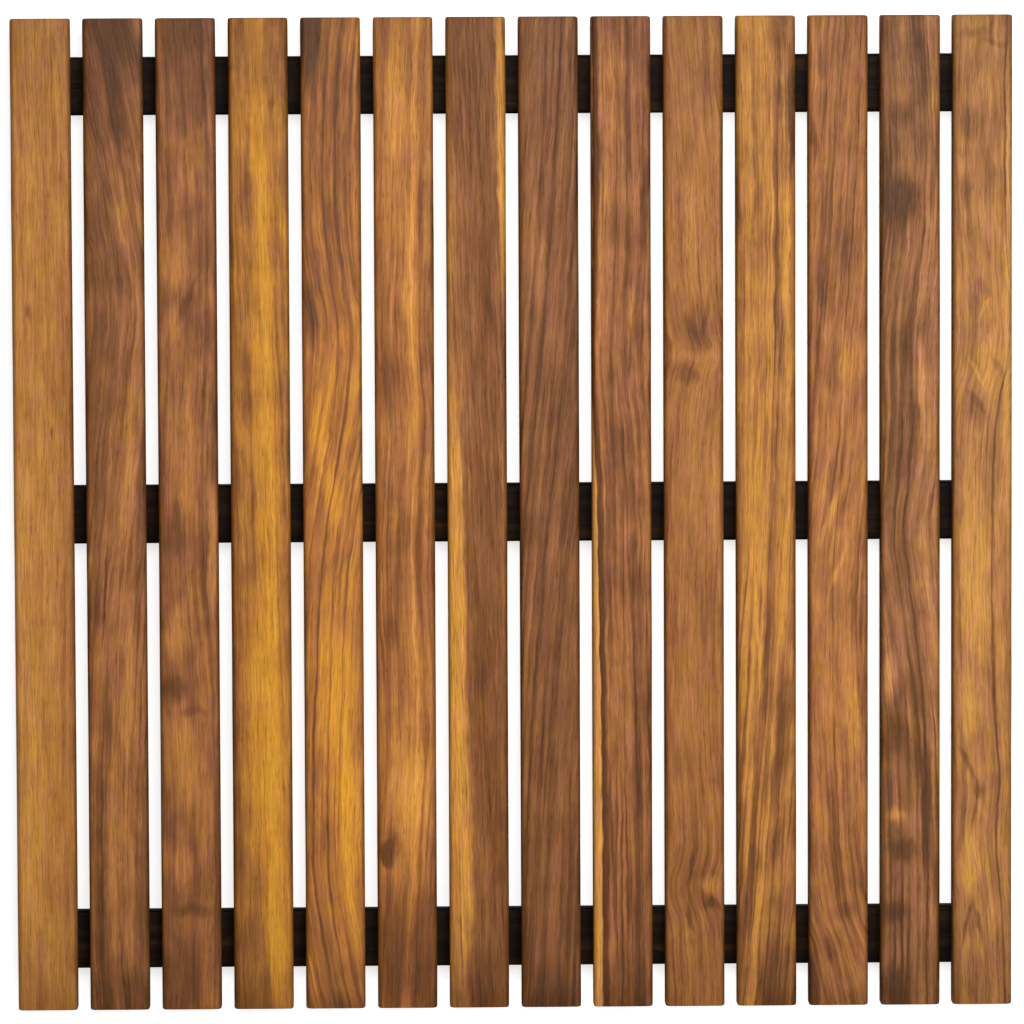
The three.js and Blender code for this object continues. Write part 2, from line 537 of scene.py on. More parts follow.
    def bands(self, tree: Tree, board: Board, grain: Socket) -> Socket:
        """Lays the broad light and dark bands that follow the grain.

        Args:
            tree: The material's node tree.
            board: The board, for its bands.
            grain: Place in the grain.

        Returns:
            The tone.
        """
        across = add(tree, "ShaderNodeSeparateXYZ", {0: grain}).outputs[0]
        reach = {"Value": across, "From Min": -self.band_reach, "From Max": self.band_reach}
        spread = add(tree, "ShaderNodeMapRange", reach).outputs[0]
        ramp = add(tree, "ShaderNodeValToRGB", {0: spread})
        stops = []
        for distance, level in sorted(board.bands):
            grey = 0.5 + self.band_gain * (level - 0.5)
            stops.append((0.5 + distance / (2 * self.band_reach), (grey, grey, grey, 1.0)))
        set_stops(ramp, stops)
        return add(tree, "ShaderNodeSeparateColor", {0: ramp.outputs[0]}).outputs[0]

    def growth_lines(self, tree: Tree, board: Board, grain: Socket, seed: int, tone: Socket) -> Socket:
        """Draws the dark growth lines, strong in some places and faint in others.

        Args:
            tree: The material's node tree.
            board: The board, for the strength of its lines.
            grain: Place in the grain.
            seed: Sets this board apart from the others.
            tone: The tone without them.

        Returns:
            The tone with them.
        """
        rings = self.field(tree, grain, self.growth, seed)
        off_line = add(tree, "ShaderNodeMath", {0: rings, 1: 0.5}, operation="SUBTRACT").outputs[0]
        distance = add(tree, "ShaderNodeMath", {0: off_line}, operation="ABSOLUTE").outputs[0]
        dark = {
            "Value": distance,
            "From Max": self.line_width,
            "To Min": -self.line_depth * board.lines,
            "To Max": 0.0,
        }
        line = add(tree, "ShaderNodeMapRange", dark, interpolation_type="SMOOTHSTEP").outputs[0]
        low, high = self.fading_span
        fading = {
            "Value": self.field(tree, grain, self.fading, seed),
            "From Min": low,
            "From Max": high,
            "To Min": self.faintest_line,
        }
        clear = add(tree, "ShaderNodeMapRange", fading).outputs[0]
        lined = {0: line, 1: clear, 2: tone}
        return add(tree, "ShaderNodeMath", lined, operation="MULTIPLY_ADD").outputs[0]

    def marked(self, tree: Tree, mark: Mark, wavy: Socket, tone: Socket) -> Socket:
        """Lays one mark over the wood.

        Args:
            tree: The material's node tree.
            mark: The mark.
            wavy: Place in the board, a little ragged.
            tone: The tone without it.

        Returns:
            The tone with it.
        """
        in_mark = {
            "Vector": wavy,
            "Location": (mark.x, mark.y, 0),
            "Rotation": (0, 0, math.radians(mark.turn)),
            "Scale": (mark.across, mark.along, self.mark_depth),
        }
        local = add(tree, "ShaderNodeMapping", in_mark, vector_type="TEXTURE").outputs[0]
        away = add(tree, "ShaderNodeVectorMath", {0: local}, operation="LENGTH").outputs["Value"]
        fade = {
            "Value": away,
            "From Min": self.mark_core,
            "To Min": self.mark_gain * mark.tone,
            "To Max": 0.0,
        }
        change = add(tree, "ShaderNodeMapRange", fade, interpolation_type="SMOOTHSTEP").outputs[0]
        return add(tree, "ShaderNodeMath", {0: tone, 1: change}, operation="ADD").outputs[0]

    def pores(self, tree: Tree, grain: Socket, seed: int) -> Socket:
        """Scatters the open vessels: short dashes along the grain, dots on the end grain.

        Args:
            tree: The material's node tree.
            grain: Place in the grain.
            seed: Sets this board apart from the others.

        Returns:
            1 in a pore and 0 between them.
        """
        low, high = self.pore_span
        vessels = {"Value": self.field(tree, grain, self.pore, seed), "From Min": low, "From Max": high}
        return add(tree, "ShaderNodeMapRange", vessels, interpolation_type="SMOOTHSTEP").outputs[0]

    def colour(
        self, tree: Tree, board: Board, tone: Socket, fibre: Socket, pore: Socket, wood: Socket, seed: int
    ) -> Socket:
        """Turns tone, fibres and pores into the wood's colour, with painted shade on its edges, sides and
        ends.

        Args:
            tree: The material's node tree.
            board: The board, for its five tones.
            tone: The tone before fibres and pores.
            fibre: The fine fibre field.
            pore: 1 in a pore.
            wood: Place in the board.
            seed: Sets this board apart from the others.

        Returns:
            The base colour.
        """
        deep = tuple(c * self.deepest for c in srgb(board.tones[0])[:3])
        pale = tuple(c * share for c, share in zip(srgb(board.tones[-1]), self.palest))
        tones = zip(self.tone_places, map(srgb, board.tones))
        ramp = add(tree, "ShaderNodeValToRGB", {0: tone})
        set_stops(ramp, [(0.0, (*deep, 1.0)), *tones, (1.0, (*pale, 1.0))])
        low, high = self.fibre_span
        strands = {
            "Value": fibre,
            "From Min": low,
            "From Max": high,
            "To Min": 1 - self.fibre_gain * board.fibre,
            "To Max": 1 + self.fibre_gain * board.fibre,
        }
        fine = add(tree, "ShaderNodeMapRange", strands).outputs[0]
        pored = {0: pore, 1: self.pore_shade, 2: fine}
        open_pore = add(tree, "ShaderNodeMath", pored, operation="MULTIPLY_ADD").outputs[0]
        # painted shade on the edges, sides and ends, multiplied into the colour
        wear_and_painted_shade = self.painted_edge_and_end_shade(tree, wood)
        both = add(tree, "ShaderNodeMath", {0: open_pore, 1: wear_and_painted_shade}, operation="MULTIPLY").outputs[0]
        low, high = self.flush_span
        hue = {"Value": self.field(tree, wood, self.flush, seed), "From Min": low, "From Max": high}
        share = add(tree, "ShaderNodeMapRange", hue).outputs[0]
        tints = {0: share, 4: self.rosy, 5: self.golden}
        tint = add(tree, "ShaderNodeMix", tints, data_type="VECTOR").outputs[1]
        dyed = {0: ramp.outputs[0], 1: tint}
        tinted = add(tree, "ShaderNodeVectorMath", dyed, operation="MULTIPLY").outputs[0]
        shaded = {0: tinted, "Scale": both}
        return add(tree, "ShaderNodeVectorMath", shaded, operation="SCALE").outputs[0]

    def painted_edge_and_end_shade(self, tree: Tree, wood: Socket) -> Socket:
        """Paints shade into the colour: darker over the rounded edges and sides and towards the ends, where
        the light falls off.

        Args:
            tree: The material's node tree.
            wood: Place in the board.

        Returns:
            1 in the middle of the board, and less towards its edges and ends.
        """
        axes = add(tree, "ShaderNodeSeparateXYZ", {0: wood}).outputs
        out = add(tree, "ShaderNodeMath", {0: axes[0]}, operation="ABSOLUTE").outputs[0]
        low, high = self.edge_span
        rounded = {
            "Value": out,
            "From Min": low,
            "From Max": high,
            "To Min": 1.0,
            "To Max": self.edge_shade,
        }
        edges = add(tree, "ShaderNodeMapRange", rounded, interpolation_type="SMOOTHSTEP").outputs[0]
        away = add(tree, "ShaderNodeMath", {0: axes[1]}, operation="ABSOLUTE").outputs[0]
        sawn = {
            "Value": away,
            "From Min": self.end_from,
            "From Max": self.half_length,
            "To Min": 1.0,
            "To Max": self.end_shade,
        }
        ends = add(tree, "ShaderNodeMapRange", sawn).outputs[0]
        return add(tree, "ShaderNodeMath", {0: edges, 1: ends}, operation="MULTIPLY").outputs[0]

    def surface(
        self, tree: Tree, shader: bpy.types.Node, fibre: Socket, pore: Socket, sheen: float
    ) -> None:
        """Gives the wood its satin oil gloss and the feel of fibres and open pores.

        Args:
            tree: The material's node tree.
            shader: The Principled shader.
            fibre: The fine fibre field.
            pore: 1 in a pore.
            sheen: The strength of the shine.
        """
        low, high = self.gloss_span
        smooth, rough = self.roughness
        oil = {"Value": fibre, "From Min": low, "From Max": high, "To Min": rough, "To Max": smooth}
        gloss = add(tree, "ShaderNodeMapRange", oil).outputs[0]
        sunk = {0: pore, 1: -1.0, 2: fibre}
        height = add(tree, "ShaderNodeMath", sunk, operation="MULTIPLY_ADD").outputs[0]
        relief = {"Height": height, "Strength": self.bump_strength, "Distance": self.bump_height * MM}
        bump = add(tree, "ShaderNodeBump", relief)
        tree.links.new(gloss, shader.inputs["Roughness"])
        tree.links.new(bump.outputs[0], shader.inputs["Normal"])
        shader.inputs["Specular IOR Level"].default_value = sheen


@dataclass(frozen=True)
class StainlessSteel:
    """Bright stainless screws: cold-headed and tumbled, so the shine is even with faint scratches."""

    colour: str = "#b9bcc0"
    roughness: Span = (0.22, 0.38)
    scratch: float = 0.35
    scratch_detail: float = 3.0
    scratch_roughness: float = 0.6
    scratch_span: Span = (0.35, 0.65)
    bump_strength: float = 0.1
    bump_height: float = 0.005

    def material(self) -> bpy.types.Material:
        """Builds the steel.

        Returns:
            The finished material.
        """
        material, tree, shader = new_material("stainless steel, tumbled")
        scratches = {
            "Vector": add(tree, "ShaderNodeTexCoord").outputs["Object"],
            "Scale": 1 / (self.scratch * MM),
            "Detail": self.scratch_detail,
            "Roughness": self.scratch_roughness,
        }
        marks = add(tree, "ShaderNodeTexNoise", scratches).outputs["Fac"]
        low, high = self.scratch_span
        smooth, rough = self.roughness
        shine = {"Value": marks, "From Min": low, "From Max": high, "To Min": smooth, "To Max": rough}
        gloss = add(tree, "ShaderNodeMapRange", shine).outputs[0]
        relief = {"Height": marks, "Strength": self.bump_strength, "Distance": self.bump_height * MM}
        bump = add(tree, "ShaderNodeBump", relief)
        shader.inputs["Base Color"].default_value = srgb(self.colour)
        shader.inputs["Metallic"].default_value = 1.0
        tree.links.new(gloss, shader.inputs["Roughness"])
        tree.links.new(bump.outputs[0], shader.inputs["Normal"])
        return material


@dataclass(frozen=True)
class Rubber:
    """Black moulded rubber: matt, finely pebbled by the mould, and dusty grey where it is worn."""

    dark: str = "#141415"
    wear_and_painted_shade: str = "#2b2b2c"
    roughness: float = 0.82
    pebble: float = 0.6
    pebble_detail: float = 2.0
    dust: float = 5.0
    dust_detail: float = 3.0
    dust_span: Span = (0.4, 0.7)
    bump_strength: float = 0.5
    bump_height: float = 0.08

    def material(self) -> bpy.types.Material:
        """Builds the rubber.

        Returns:
            The finished material.
        """
        material, tree, shader = new_material("black rubber, moulded")
        place = add(tree, "ShaderNodeTexCoord").outputs["Object"]
        mould = {"Vector": place, "Scale": 1 / (self.pebble * MM), "Detail": self.pebble_detail}
        pebbles = add(tree, "ShaderNodeTexNoise", mould).outputs["Fac"]
        wear = {"Vector": place, "Scale": 1 / (self.dust * MM), "Detail": self.dust_detail}
        dust = add(tree, "ShaderNodeTexNoise", wear).outputs["Fac"]
        low, high = self.dust_span
        settled = {"Value": dust, "From Min": low, "From Max": high}
        share = add(tree, "ShaderNodeMapRange", settled).outputs[0]
        dusty = {0: share, 6: srgb(self.dark), 7: srgb(self.wear_and_painted_shade)}
        colour = add(tree, "ShaderNodeMix", dusty, data_type="RGBA").outputs[2]
        relief = {"Height": pebbles, "Strength": self.bump_strength, "Distance": self.bump_height * MM}
        bump = add(tree, "ShaderNodeBump", relief)
        shader.inputs["Roughness"].default_value = self.roughness
        tree.links.new(colour, shader.inputs["Base Color"])
        tree.links.new(bump.outputs[0], shader.inputs["Normal"])
        return material


# ---------------------------------------------------------------- the boards' own figures, with painted shade at the slats' front ends and on the battens

# Painted shade: the wide dark marks that span each slat near its front end, about y -270 to -300, stand in
# for the light falling off there.
SLAT_BOARDS = (
    # slat 1: pale, straight and quiet, with two dark flecks
    Board(
        tones=("#8c5521", "#a0662d", "#ab7132", "#b37937", "#be833c"),
        path=((-300, 1), (-100, -1), (100, 1), (300, -1)),
        bands=((-20, 0.5), (-8, 0.58), (4, 0.52), (12, 0.47), (16, 0.42), (20, 0.35)),
        marks=(
            Mark(-8, 125, 2.5, 9, -0.45), Mark(5, 52, 2, 6, -0.6), Mark(5, 4, 2, 10, -0.3),
            Mark(12, 115, 4, 60, -0.3), Mark(-7, -180, 8, 120, 0.3), Mark(-13, -30, 6, 120, 0.25),
            Mark(0, -300, 20, 30, -0.3),
        ),
        lines=0.16,
    ),
    # slat 2: its grain bows out behind the middle, and its back end is dark
    Board(
        tones=("#643a12", "#7b4a22", "#8f582c", "#9f6535", "#b07439"),
        path=(
            (-300, -8), (-220, -11), (-120, -9), (-60, -6), (0, 0), (40, 3), (90, 8), (130, 11),
            (180, 6), (240, -4), (300, -15),
        ),
        bands=((-20, 0.35), (-6, 0.5), (8, 0.6), (20, 0.5)),
        marks=(
            Mark(-4, 300, 26, 90, -0.55), Mark(2, 240, 9, 34, -0.3), Mark(8, 158, 2.5, 48, 0.35, 12),
            Mark(9, 30, 5, 60, 0.4), Mark(7, -110, 6, 90, 0.45), Mark(-7, -45, 1.8, 38, -0.6, -4),
            Mark(-10, -200, 3, 90, -0.35), Mark(0, -295, 22, 40, -0.4),
        ),
        lines=0.32,
    ),
    # slat 3: softly mottled, with a golden right edge and darker bars towards the front
    Board(
        tones=("#6b3d11", "#7d4a25", "#90582c", "#a16630", "#ae7135"),
        path=((-300, 5), (-110, 5), (-30, 0), (50, 0), (130, 3), (200, 4), (300, 0)),
        bands=(
            (-30, 0.45), (-6, 0.55), (4, 0.52), (7.5, 0.5), (9, 0.25), (10.5, 0.45), (14, 0.5),
            (30, 0.5),
        ),
        marks=(
            Mark(0, 285, 24, 70, -0.4), Mark(-6, 150, 10, 26, 0.35), Mark(-8, 116, 8, 16, 0.3),
            Mark(-2, 126, 3, 40, -0.3, -24), Mark(0, 40, 16, 46, 0.35), Mark(-8, -12, 12, 26, -0.35),
            Mark(-8, -70, 8, 24, 0.35), Mark(-9, -104, 12, 11, -0.45), Mark(4, -118, 14, 5, -0.3),
            Mark(-4, -150, 15, 36, 0.45), Mark(-5, -212, 12, 26, 0.3), Mark(0, -240, 18, 6, -0.4),
            Mark(-6, -280, 22, 34, -0.45), Mark(14.5, -25, 4, 65, 0.8),
        ),
        lines=0.16,
        cloud=1.2,
    ),
    # slat 4: golden, with a bright stripe down its right half
    Board(
        tones=("#7b4814", "#955d22", "#ad7020", "#be7e1f", "#cc8e23"),
        path=((-300, 6), (-200, 5), (0, 1), (250, -6), (300, -6)),
        bands=(
            (-20, 0.3), (-12, 0.4), (-7, 0.5), (-3, 0.5), (2, 0.74), (8, 0.7), (13, 0.52), (20, 0.35),
        ),
        marks=(
            Mark(-6, 190, 5, 60, -0.25), Mark(-8, 78, 4, 40, -0.3), Mark(-5, 0, 4, 60, -0.25),
            Mark(0, -140, 18, 130, 0.22), Mark(0, 280, 20, 50, -0.3), Mark(0, -298, 20, 30, -0.3),
        ),
        lines=0.2,
    ),
    # slat 5: golden and wavy, with a few bold dark lines
    Board(
        tones=("#72441c", "#945926", "#aa6a2a", "#c28025", "#d59226"),
        path=(
            (-300, 2), (-250, -7), (-215, -11), (-160, -11), (-100, -9), (-40, -6), (0, -1), (30, 4),
            (60, 9), (110, 13), (140, 9), (190, 4), (300, 9),
        ),
        bands=(
            (-24, 0.5), (-10.5, 0.53), (-9, 0.4), (-7.5, 0.53), (-3.2, 0.53), (-1.8, 0.16), (-0.2, 0.5),
            (5.5, 0.54), (6.8, 0.34), (8.2, 0.56), (13, 0.54), (14.5, 0.36), (16, 0.56), (24, 0.53),
        ),
        marks=(
            Mark(-14, 288, 15, 42, -0.6), Mark(0, 210, 30, 150, -0.22), Mark(-13, 120, 7, 30, -0.4),
            Mark(-4, 30, 8, 50, 0.3, 12), Mark(2, -110, 16, 90, 0.4), Mark(8, -200, 12, 80, 0.35),
            Mark(0, -300, 20, 16, -0.3),
        ),
        lines=0.22,
        cloud=0.65,
    ),
    # slat 6: a small dark knot by the left edge, and a front end darkened with painted shade
    Board(
        tones=("#7b4617", "#995d29", "#af7030", "#bf7e33", "#d3913b"),
        path=(
            (-300, -6), (-220, -3), (-120, 2), (-40, -1), (10, 0), (60, 2), (100, -1), (180, 0),
            (300, 3),
        ),
        bands=((-20, 0.4), (-8, 0.5), (2, 0.5), (5, 0.75), (8, 0.55), (10, 0.3), (13, 0.5), (20, 0.35)),
        marks=(
            Mark(-5, 245, 10, 60, 0.25), Mark(4, 150, 7, 80, 0.25), Mark(-10, 82, 10, 36, -0.4),
            Mark(12, 95, 5, 16, -0.2), Mark(-8, -70, 7, 16, -0.3), Mark(0, -20, 16, 60, -0.2),
            Mark(2, -165, 18, 46, 0.35), Mark(-12, -206, 6.5, 12, -1.0), Mark(-14, -209, 2.4, 5, -0.6),
            Mark(-9, -200, 9, 15, -0.3), Mark(2, -270, 40, 62, -0.5, 4),
        ),
        lines=0.22,
        cloud=0.7,
    ),
    # slat 7: pale sapwood down the left edge at the front and the right edge at the back
    Board(
        tones=("#744110", "#845025", "#935d2d", "#ad722f", "#c88937"),
        path=((-300, 8), (-150, 5), (0, 1), (150, -3), (300, -8)),
        bands=((-20, 0.75), (-12, 0.62), (-9, 0.35), (-2, 0.35), (8, 0.3), (14, 0.35), (20, 0.4)),
        marks=(
            Mark(-13, -70, 10, 230, 0.5, -1), Mark(-6, -200, 9, 90, 0.25),
            Mark(15.5, 230, 6, 150, 0.85, 0.8), Mark(4, -80, 8, 60, -0.2), Mark(0, -290, 22, 34, -0.4),
            Mark(8, 140, 2, 40, -0.3),
        ),
        lines=0.26,
        fibre=0.7,
        cloud=0.7,
    ),
    # slat 8: dark, with slanting grain and wide darker lines
    Board(
        tones=("#61360d", "#794820", "#875328", "#945d34", "#a76b3c"),
        path=((-300, -28), (-200, -24), (-120, -20), (-20, -12), (80, -2), (180, 6), (300, 12)),
        bands=(
            (-20, 0.5), (-14, 0.5), (-12, 0.25), (-10, 0.5), (-6.5, 0.5), (-4, 0.12), (-1.5, 0.5),
            (7, 0.52), (9.5, 0.22), (12, 0.5), (20, 0.5), (22.5, 0.25), (25, 0.5), (34, 0.45),
        ),
        marks=(
            Mark(-6, 150, 7, 70, 0.35, 3), Mark(4, -20, 9, 60, 0.15), Mark(-6, 60, 6, 16, 0.2),
            Mark(0, -300, 22, 40, -0.45),
        ),
        lines=0.34,
        cloud=0.7,
    ),
    # slat 9: a strip of pale sapwood down the left edge, set off by a dark line
    Board(
        tones=("#66380c", "#844e24", "#9a5f31", "#ad6e37", "#d19043"),
        path=(
            (-300, 1.4), (-150, 0.8), (-50, -0.6), (20, -1.6), (60, -4), (95, -6), (150, -4), (300, -4),
        ),
        bands=(
            (-24, 1.0), (-14.6, 1.0), (-13.9, 0.75), (-13.2, 0.02), (-10.8, 0.15), (-9.2, 0.62),
            (-5, 0.55), (-1, 0.5), (5, 0.48), (7.5, 0.25), (10, 0.45), (15, 0.5), (24, 0.45),
        ),
        marks=(
            Mark(5, 95, 2.2, 24, -0.45), Mark(0, -300, 22, 50, -0.4),
        ),
        lines=0.36,
    ),
    # slat 10: two knots, with grain that bends round them
    Board(
        tones=("#784616", "#8e5626", "#9d642d", "#a86d32", "#b77a34"),
        path=(
            (-300, 3), (-250, 1), (-228, -4), (-205, 0), (-120, -3), (0, -2), (60, 1), (84, 4), (97, 7),
            (110, 4), (140, 1), (220, -1), (300, -6),
        ),
        bands=((-24, 0.5), (-8, 0.5), (6, 0.55), (24, 0.5)),
        marks=(
            Mark(2, 112, 17, 24, -0.4), Mark(2, 96, 22, 5, 0.25, 4), Mark(-4, 84, 16, 7, -0.4, -14),
            Mark(0, 112, 4, 16, -0.35, 30), Mark(8, 122, 3, 22, -0.35, -8), Mark(12, 20, 5, 60, 0.35),
            Mark(-2, 170, 6, 50, 0.3), Mark(4, -226, 14, 30, -0.25), Mark(9, -226, 8, 9, 0.75, 12),
            Mark(-2, -216, 1.8, 13, -0.9), Mark(-3, -246, 2, 12, -0.6, 10), Mark(11, -238, 9, 5, -0.5),
            Mark(4, -280, 22, 34, -0.15),
        ),
        lines=0.28,
        cloud=0.8,
    ),
    # slat 11: golden and slanting, with many lines
    Board(
        tones=("#704113", "#985f2a", "#b1762d", "#c38432", "#d29438"),
        path=((-300, -22), (-200, -14), (-100, -7), (0, -2), (120, 1), (300, 0)),
        bands=(
            (-20, 0.57), (-5, 0.61), (3, 0.57), (6, 0.42), (9, 0.5), (13, 0.6), (16, 0.43), (20, 0.52),
            (23, 0.44), (27, 0.54), (31, 0.44), (38, 0.5),
        ),
        marks=(
            Mark(15, 240, 4, 60, -0.45), Mark(6, 180, 3, 90, -0.25), Mark(-5, -70, 2, 46, 0.4, 3),
            Mark(12, 150, 4, 60, 0.3), Mark(10, -120, 8, 60, -0.3), Mark(6, -202, 3, 20, -0.3, -8),
            Mark(6, -292, 18, 54, -0.45), Mark(-16, -200, 5, 160, -0.35),
        ),
        lines=0.32,
        cloud=0.75,
    ),
    # slat 12: bowed grain with pale streaks in the middle
    Board(
        tones=("#754316", "#91592b", "#a56833", "#b27435", "#c1833a"),
        path=(
            (-300, 8), (-265, 0), (-235, -9), (-180, -14), (-80, -16), (-20, -14), (40, -7), (100, -4),
            (200, 3), (300, 8),
        ),
        bands=((-24, 0.45), (-8, 0.45), (4, 0.5), (24, 0.5)),
        marks=(
            Mark(-10, 272, 3, 16, -0.45), Mark(-14, 225, 3, 20, -0.5), Mark(-10, 135, 4, 16, -0.4, 8),
            Mark(6, 158, 13, 24, -0.4), Mark(4, 85, 5, 36, 0.5), Mark(-5, 0, 3.5, 36, 0.45, -20),
            Mark(0, -34, 2.5, 30, 0.35, -20), Mark(5, 8, 5, 30, -0.25, -20), Mark(6, -130, 14, 90, 0.3),
            Mark(-16, -285, 6, 30, -0.8), Mark(-6, -266, 3, 12, -0.4, 15),
            Mark(4, -243, 12, 8, -0.3, 20),
        ),
        lines=0.34,
    ),
    # slat 13: the strongest lines, and smoky patches
    Board(
        tones=("#673b0d", "#805028", "#966035", "#ab7140", "#c38448"),
        path=(
            (-300, 8), (-180, 8), (-120, 6), (-80, 2), (-40, -3), (-10, -6), (20, -3), (50, -1),
            (100, -1), (130, 2), (190, 7), (300, 3),
        ),
        bands=(
            (-24, 0.42), (-10, 0.5), (-5, 0.5), (-4, 0.35), (-3, 0.5), (0.6, 0.48), (1.8, 0.1),
            (3.1, 0.52), (8, 0.6), (12, 0.6), (24, 0.5),
        ),
        marks=(
            Mark(-5, 240, 10, 12, -0.3), Mark(-5, 190, 15, 22, -0.8), Mark(7, 80, 3.5, 40, 0.5),
            Mark(-12, -100, 6, 20, 0.5), Mark(-9, -135, 12, 22, -0.5), Mark(-9, -184, 7, 7, 0.5),
            Mark(-5, -205, 14, 10, -0.4), Mark(-9, -243, 10, 10, -0.4), Mark(-8, -290, 16, 22, -0.6),
        ),
        lines=0.5,
    ),
    # slat 14: a curly patch behind the middle, and a forked dark line near the front
    Board(
        tones=("#794a1f", "#935e30", "#a46d37", "#b3793b", "#c0863e"),
        path=(
            (-300, 7.5), (-240, 5.5), (-200, 2), (-165, 3.8), (-130, 2), (-100, 0.8), (40, 0.8),
            (70, 4), (100, 9.5), (200, 7), (300, 8),
        ),
        bands=(
            (-30, 0.5), (-6, 0.55), (3, 0.52), (5.3, 0.5), (6.3, 0.0), (7.3, 0.5), (12, 0.55),
            (30, 0.6),
        ),
        marks=(
            Mark(-6, 289, 16, 5, -0.3, 5), Mark(6, 284, 12, 3.5, -0.3, -5), Mark(-8, 236, 12, 16, -0.4),
            Mark(-10, 196, 6, 14, -0.4), Mark(4, 205, 4, 40, -0.2), Mark(5, 95, 9, 46, 0.4),
            Mark(0, 136, 3.5, 12, -0.28, 30), Mark(4, 112, 3, 14, -0.25, -25),
            Mark(8, 92, 3, 14, -0.28, 20), Mark(-3, 66, 3, 16, -0.28, 40),
            Mark(1, 122, 2, 12, 0.4, -30), Mark(6, 100, 2, 12, 0.45, 25), Mark(-3, 84, 2, 14, 0.4, 30),
            Mark(15.5, 130, 4.5, 190, 0.75), Mark(-4, -40, 13, 80, 0.6), Mark(-8, -118, 9, 30, 0.45),
            Mark(-2, -168, 5, 8, -0.5), Mark(-8, -154, 2.4, 18, -0.45, 27),
            Mark(-5, -184, 1.6, 22, -0.4, -10), Mark(-7, -212, 9, 26, 0.6),
            Mark(-9, -250, 2.2, 20, -0.5, -12), Mark(-2, -251, 2.2, 20, -0.6, 13),
            Mark(-4, -285, 14, 22, -0.25), Mark(-4, 60, 8, 14, -0.3),
        ),
        lines=0.24,
        cloud=0.8,
    ),
)

# Painted shade: the battens' near-black tones match the shade they lie in under and between the slats,
# darker than oiled teak's own colour.
PAINTED_SHADE_BATTEN_BOARD = Board(
    tones=("#0f0804", "#150c05", "#1c1006", "#261609", "#38230f"),
    path=((-300, 2), (-80, -3), (90, 3), (300, -2)),
    bands=((-20, 0.5), (20, 0.5)),
    lines=0.3,
    cloud=1.5,
    sheen=0.06,
)


# ---------------------------------------------------------------- pieces


@dataclass
class Lumber:
    """Cuts sanded boards with rounded long edges and eased ends. Sizes are in millimetres.

    Hollows left by hand sanding are unevenness deep and lie ripple apart, along and across the
    board. seed_step and face_step set boards and their two directions apart.
    """

    roundover: float = 3.0
    round_segments: int = 5
    ease: float = 1.2
    ease_segments: int = 2
    step: float = 12.0
    strips: int = 6
    unevenness: float = 0.14
    ripple: Span = (55.0, 16.0)
    seed_step: float = 3.1
    face_step: float = 11.0

    def blank(self, low: Vector, high: Vector, run: Run) -> bmesh.types.BMesh:
        """Makes a board that fills a box.

        Args:
            low: The box's lowest corner, in metres.
            high: The box's highest corner, in metres.
            run: Which way the board runs.

        Returns:
            A closed bmesh, cut into short lengths and narrow strips.
        """
        axis = run.value
        size = high - low
        middle = (low + high) / 2
        half = size[axis] / 2
        place = Matrix.Translation(middle) @ Matrix.Diagonal((*size, 1.0))
        bm = bmesh.new()
        bmesh.ops.create_cube(bm, size=1.0, matrix=place)
        long_edges = [e for e in bm.edges if abs((e.verts[0].co - e.verts[1].co)[axis]) > half]
        self.round_off(bm, long_edges, self.roundover, self.round_segments)
        rims = [e for e in bm.edges if abs((e.verts[0].co - e.verts[1].co)[axis]) < half]
        self.round_off(bm, rims, self.ease, self.ease_segments)
        normal = Vector((0, 0, 0))
        normal[axis] = 1.0
        count = round(size[axis] / (self.step * MM))
        for i in range(1, count):
            self.slice(bm, middle + normal * size[axis] * (i / count - 0.5), normal)
        side = Vector((0, 0, 0))
        side[1 - axis] = 1.0
        flat = size[1 - axis] - 2 * self.roundover * MM
        for i in range(1, self.strips):
            self.slice(bm, middle + side * flat * (i / self.strips - 0.5), side)
        return bm

    def round_off(
        self, bm: bmesh.types.BMesh, edges: list[bmesh.types.BMEdge], reach: float, segments: int
    ) -> None:
        """Rounds some of a board's edges.

        Args:
            bm: The board.
            edges: The edges to round.
            reach: How far the round reaches into each face.
            segments: The number of flats in the round.
        """
        bmesh.ops.bevel(
            bm,
            geom=edges,
            offset=reach * MM,
            offset_type="OFFSET",
            affect="EDGES",
            segments=segments,
            profile=0.5,
            material=-1,
        )

    def slice(self, bm: bmesh.types.BMesh, point: Vector, normal: Vector) -> None:
        """Cuts every face that crosses a plane, and takes nothing away.

        Args:
            bm: The board.
            point: A point on the plane, in metres.
            normal: The plane's direction.
        """
        geom = bm.verts[:] + bm.edges[:] + bm.faces[:]
        bmesh.ops.bisect_plane(bm, geom=geom, plane_co=point, plane_no=normal, dist=ON_PLANE)

    def soften(self, piece: bpy.types.Object, run: Run, seed: int) -> None:
        """Moves a board's faces by hairs, as sanding by hand leaves them, but not its underside.

        Args:
            piece: The board.
            run: Which way it runs.
            seed: Sets this board apart from the others.
        """
        axis = run.value
        bed = min(v.co.z for v in piece.data.vertices) + 2 * self.roundover * MM
        reach = self.unevenness * MM
        long_ripple, cross_ripple = self.ripple
        for vert in piece.data.vertices:
            if vert.co.z < bed:
                continue
            along = vert.co[axis] / (long_ripple * MM)
            across = vert.co[1 - axis] / (cross_ripple * MM)
            spot = Vector((seed * self.seed_step, along, across))
            vert.co[1 - axis] += reach * noise.noise(spot)
            spot = spot + Vector((self.face_step, 0, 0))
            vert.co.z -= reach * (0.5 + 0.5 * noise.noise(spot))


